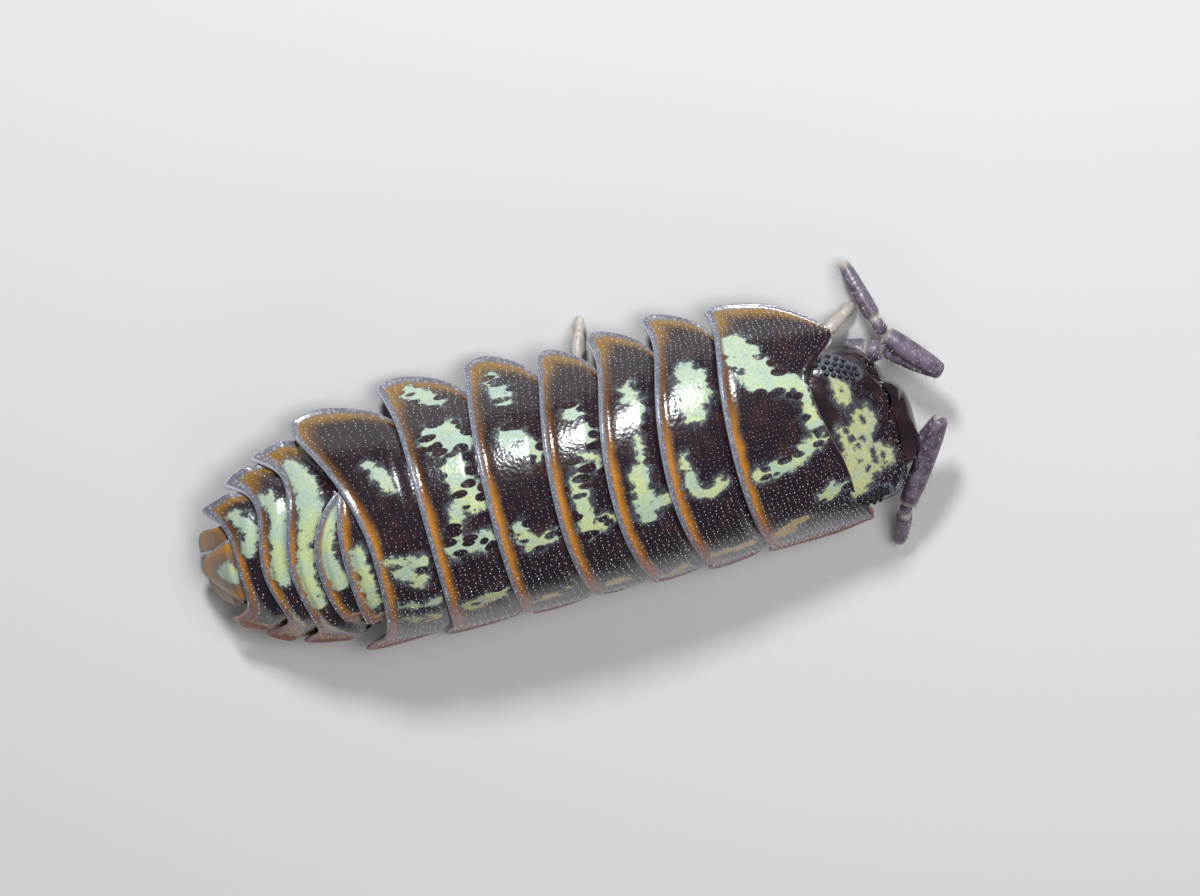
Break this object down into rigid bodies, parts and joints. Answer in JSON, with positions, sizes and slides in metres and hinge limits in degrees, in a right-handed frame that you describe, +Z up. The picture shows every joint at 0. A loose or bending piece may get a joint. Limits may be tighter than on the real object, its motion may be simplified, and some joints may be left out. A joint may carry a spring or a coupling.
{
  "type": "pill woodlouse model",
  "caption": "Still life-size pill woodlouse with arched overlapping shell plates, patterned back, feelers and walking legs, standing on its feet.",
  "frame": {"origin": "centre of the animal's footprint on the floor", "axes": "+X towards the head, +Y to the animal's left, +Z up"},
  "size_m": [0.0092, 0.0039, 0.0019],
  "materials": {
    "shell": "glossy dark shell",
    "eye": "glossy black",
    "limb": "satin purple grey",
    "underside": "pale satin"
  },
  "bodies": {
    "root": {"pereonite_1": "shell", "pereonite_2": "shell", "pereonite_3": "shell", "pereonite_4": "shell", "pereonite_5": "shell", "pereonite_6": "shell", "pereonite_7": "shell", "pleonite_1": "shell", "pleonite_2": "shell", "pleonite_3": "shell", "pleonite_4": "shell", "pleonite_5": "shell", "telson": "shell", "uropod_left": "shell", "uropod_right": "shell", "head": "shell", "scutellum": "shell", "eye_left": "eye", "eye_right": "eye", "antenna_base_left": "limb", "antenna_article_4_left": "limb", "antenna_article_5_left": "limb", "flagellum_left": "limb", "leg_left_1": "limb", "leg_left_2": "limb", "leg_left_3": "limb", "leg_left_4": "limb", "leg_left_5": "limb", "leg_left_6": "limb", "leg_left_7": "limb", "antenna_base_right": "limb", "antenna_article_4_right": "limb", "antenna_article_5_right": "limb", "flagellum_right": "limb", "leg_right_1": "limb", "leg_right_2": "limb", "leg_right_3": "limb", "leg_right_4": "limb", "leg_right_5": "limb", "leg_right_6": "limb", "leg_right_7": "limb", "trunk": "underside", "mouthparts": "underside", "pleopods_left": "underside", "pleopods_right": "underside"}
  },
  "joints": []
}
